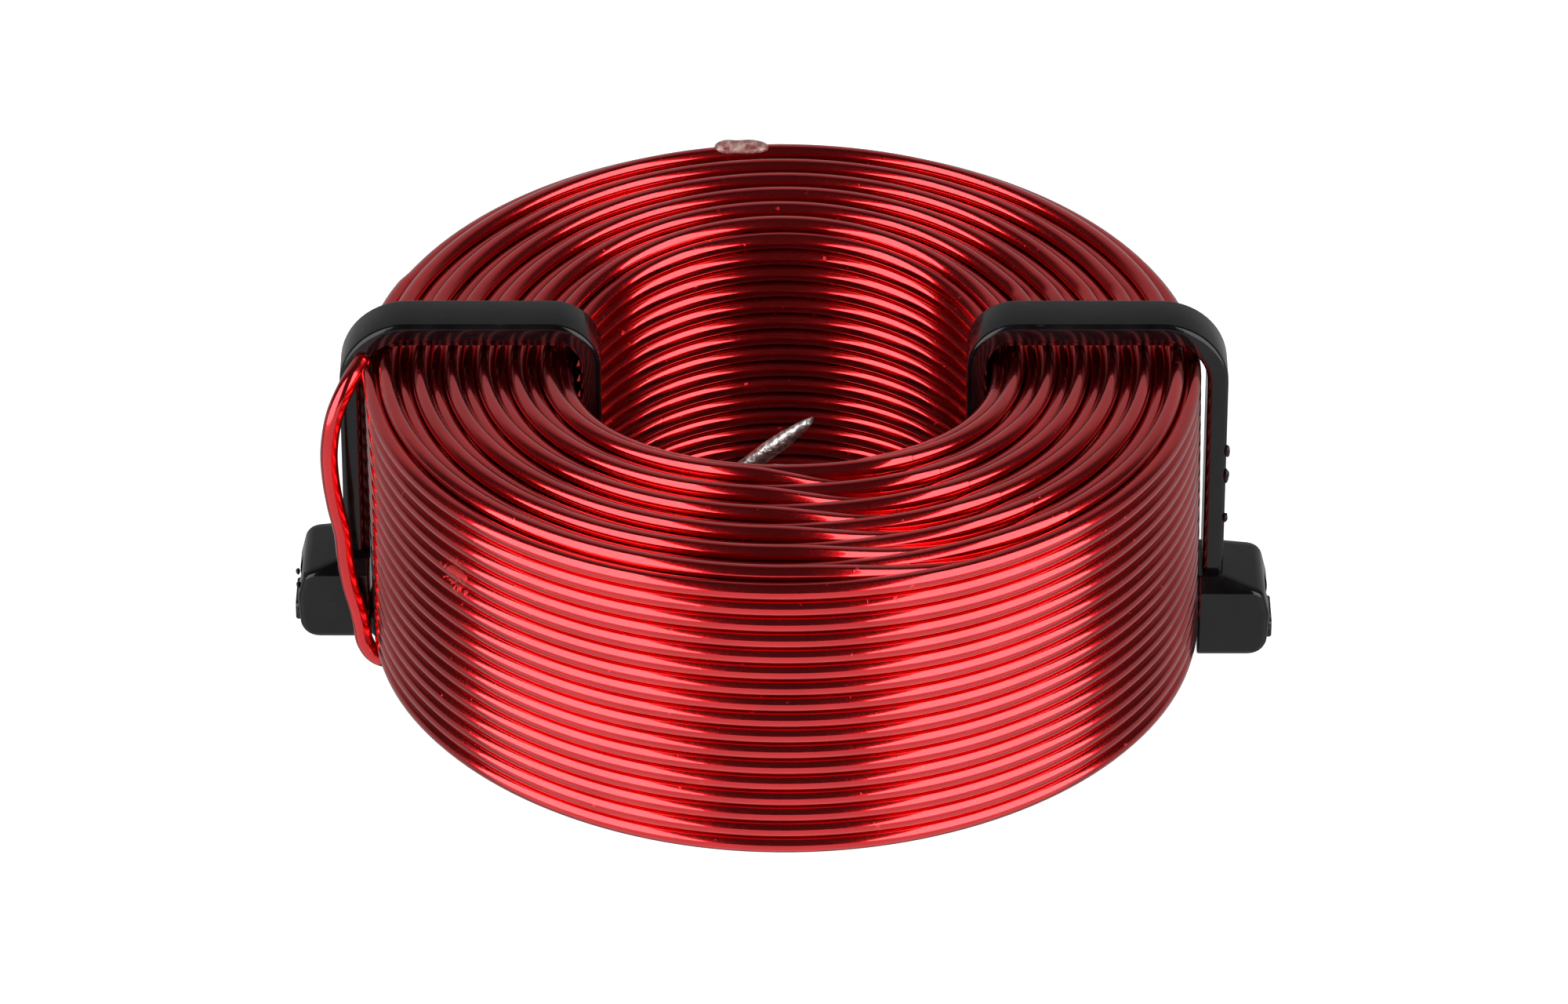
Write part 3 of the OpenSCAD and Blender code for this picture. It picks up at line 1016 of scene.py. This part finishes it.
def pawl_outline(low, high):
    """A pawl seen from the front, as (x, z): its round root, then its toothed end."""
    root_x, root_z = low[0] + PAWL_ROOT_R, high[2] - PAWL_ROOT_DOWN
    angles = [math.radians(a) for a in PAWL_ROOT_DEG]
    root = [(root_x + PAWL_ROOT_R * math.cos(a), root_z + PAWL_ROOT_R * math.sin(a)) for a in angles]
    return root + [(high[0] + x, low[2] + z) for x, z in PAWL_END]


def make_pawl(side, material):
    """The latch inside a head: a sprung tongue with teeth that hold the strap."""
    name = side + "_tie_pawl"
    mirror = -1 if side == "left" else 1
    low, high = box_as_right(name, side)
    outline = pawl_outline(low, high)
    verts = [(mirror * x, y, z) for y in (low[1], high[1]) for x, z in outline]
    obj = new_object(name + "_tongue", verts, skin(2, len(outline)))
    bevel = obj.modifiers.new("bevel", "BEVEL")
    bevel.width = PAWL_BEVEL * MM
    bevel.segments = 2
    bevel.limit_method = "ANGLE"
    face_outwards(obj)
    obj.data.set_sharp_from_angle(angle=math.radians(35))
    obj.data.materials.append(material)
    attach(obj, side + "_pawl")
    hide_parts(name)


for tie_side in ("left", "right"):
    make_strap(tie_side, nylon)
    make_head(tie_side, nylon)
    make_pawl(tie_side, nylon)


# ---------------------------------------------------------------- varnish drop

def make_drop(material):
    """A dried run of varnish along the top of the rear rim."""
    low, high = (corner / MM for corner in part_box("varnish_drop"))
    middle_y = (low.y + high.y) / 2
    middle_z = low.z + DROP_MIDDLE
    length = high.x - low.x
    rng = random.Random(31)
    sides, steps = 20, 44
    waves = [
        (rng.uniform(*DROP_WAVE), rng.uniform(*ANY_PHASE), rng.uniform(*DROP_WAVE_SIZE))
        for _ in range(DROP_WAVES)
    ]
    verts = []
    for i in range(steps + 1):
        s = i / steps
        x = low.x + length * s
        body = math.sqrt(max(0, 1 - abs(2 * s - 1) ** DROP_END_POWER))
        body *= 1 + sum(h * math.sin(f * x + p) for f, p, h in waves)
        for k in range(sides):
            a = 2 * math.pi * k / sides
            y = middle_y + DROP_HALF_W * body * math.cos(a)
            half_h = DROP_UP if math.sin(a) > 0 else DROP_DOWN
            verts.append((x, y, middle_z + half_h * body * math.sin(a)))
    obj = new_object("varnish_drop_run", verts, skin(steps + 1, sides, capped=False))
    face_outwards(obj, weld=True)
    obj.data.materials.append(material)
    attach(obj, "coil")
    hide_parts("varnish_drop")


make_drop(varnish)


# ---------------------------------------------------------------- studio

def make_floor():
    """A plain white table. What the wire reflects of it is in the world's lower half."""
    corners = ((-1, -1), (1, -1), (1, 1), (-1, 1))
    floor = new_object("floor", [(FLOOR_HALF * x, FLOOR_HALF * y, 0) for x, y in corners], [[0, 1, 2, 3]])
    material = plain_material(
        "floor",
        Base_Color=FLOOR_GREY,
        Roughness=STAGE_ROUGHNESS,
        Specular_IOR_Level=0.0,
        Emission_Color=WHITE,
        Emission_Strength=FLOOR_BRIGHTNESS,
    )
    floor.data.materials.append(material)
    floor.visible_glossy = False
    floor.visible_diffuse = False


def make_shade():
    """The unlit patch of the table under the coil, as its bore and its undersides see it."""
    radius = BORE_R + LAYERS * LAYER_PITCH
    angles = [2 * math.pi * k / SHADE_SIDES for k in range(SHADE_SIDES)]
    verts = [(radius * math.cos(a), radius * math.sin(a), SHADE_Z) for a in angles]
    shade = new_object("shade", verts, [list(range(SHADE_SIDES))])
    shade.data.materials.append(plain_material("shade", Base_Color=SHADE_GREY, Roughness=STAGE_ROUGHNESS))
    shade.visible_camera = False
    shade.visible_shadow = False


def make_panel(side):
    """A soft panel that stands beside the object, tall next to it and lower towards the camera."""
    outline = [
        (PANEL_REAR, PANEL_BOTTOM),
        (PANEL_REAR, PANEL_TOP),
        (PANEL_SHOULDER, PANEL_TOP),
        (PANEL_FRONT, PANEL_FRONT_TOP),
        (PANEL_FRONT, PANEL_BOTTOM),
    ]
    panel = new_object("panel", [(side * PANEL_X, y, z) for y, z in outline], [list(range(len(outline)))])
    material = plain_material(
        "panel",
        Base_Color=BLACK,
        Emission_Color=WHITE,
        Emission_Strength=PANEL_BRIGHTNESS,
    )
    panel.data.materials.append(material)
    panel.visible_camera = False


def make_world():
    """A dim studio, darkest towards the camera, over a table that is bright in front and dim behind."""
    world = bpy.data.worlds.new("studio")
    bpy.context.scene.world = world
    world.use_nodes = True
    tree = world.node_tree
    background = tree.nodes["Background"]
    place = tree.nodes.new("ShaderNodeTexCoord")
    split = tree.nodes.new("ShaderNodeSeparateXYZ")
    tree.links.new(place.outputs["Generated"], split.inputs[0])

    def ramp(axis, between, to):
        node = tree.nodes.new("ShaderNodeMapRange")
        node.interpolation_type = "SMOOTHSTEP"
        tree.links.new(split.outputs[axis], node.inputs["Value"])
        node.inputs["From Min"].default_value, node.inputs["From Max"].default_value = between
        node.inputs["To Min"].default_value, node.inputs["To Max"].default_value = to
        return node.outputs["Result"]

    mix = tree.nodes.new("ShaderNodeMix")
    tree.links.new(ramp("Z", HORIZON_Z, (0, 1)), mix.inputs["Factor"])
    tree.links.new(ramp("Y", BELOW_Y, BELOW_BRIGHTNESS), mix.inputs["A"])
    tree.links.new(ramp("Y", ABOVE_Y, ABOVE_BRIGHTNESS), mix.inputs["B"])
    tree.links.new(mix.outputs["Result"], background.inputs["Strength"])
    background.inputs["Color"].default_value = WHITE


make_floor()
make_shade()
make_panel(-1)
make_panel(1)
make_world()
bpy.context.scene.view_settings.view_transform = "Standard"
bpy.context.scene.view_settings.look = "None"
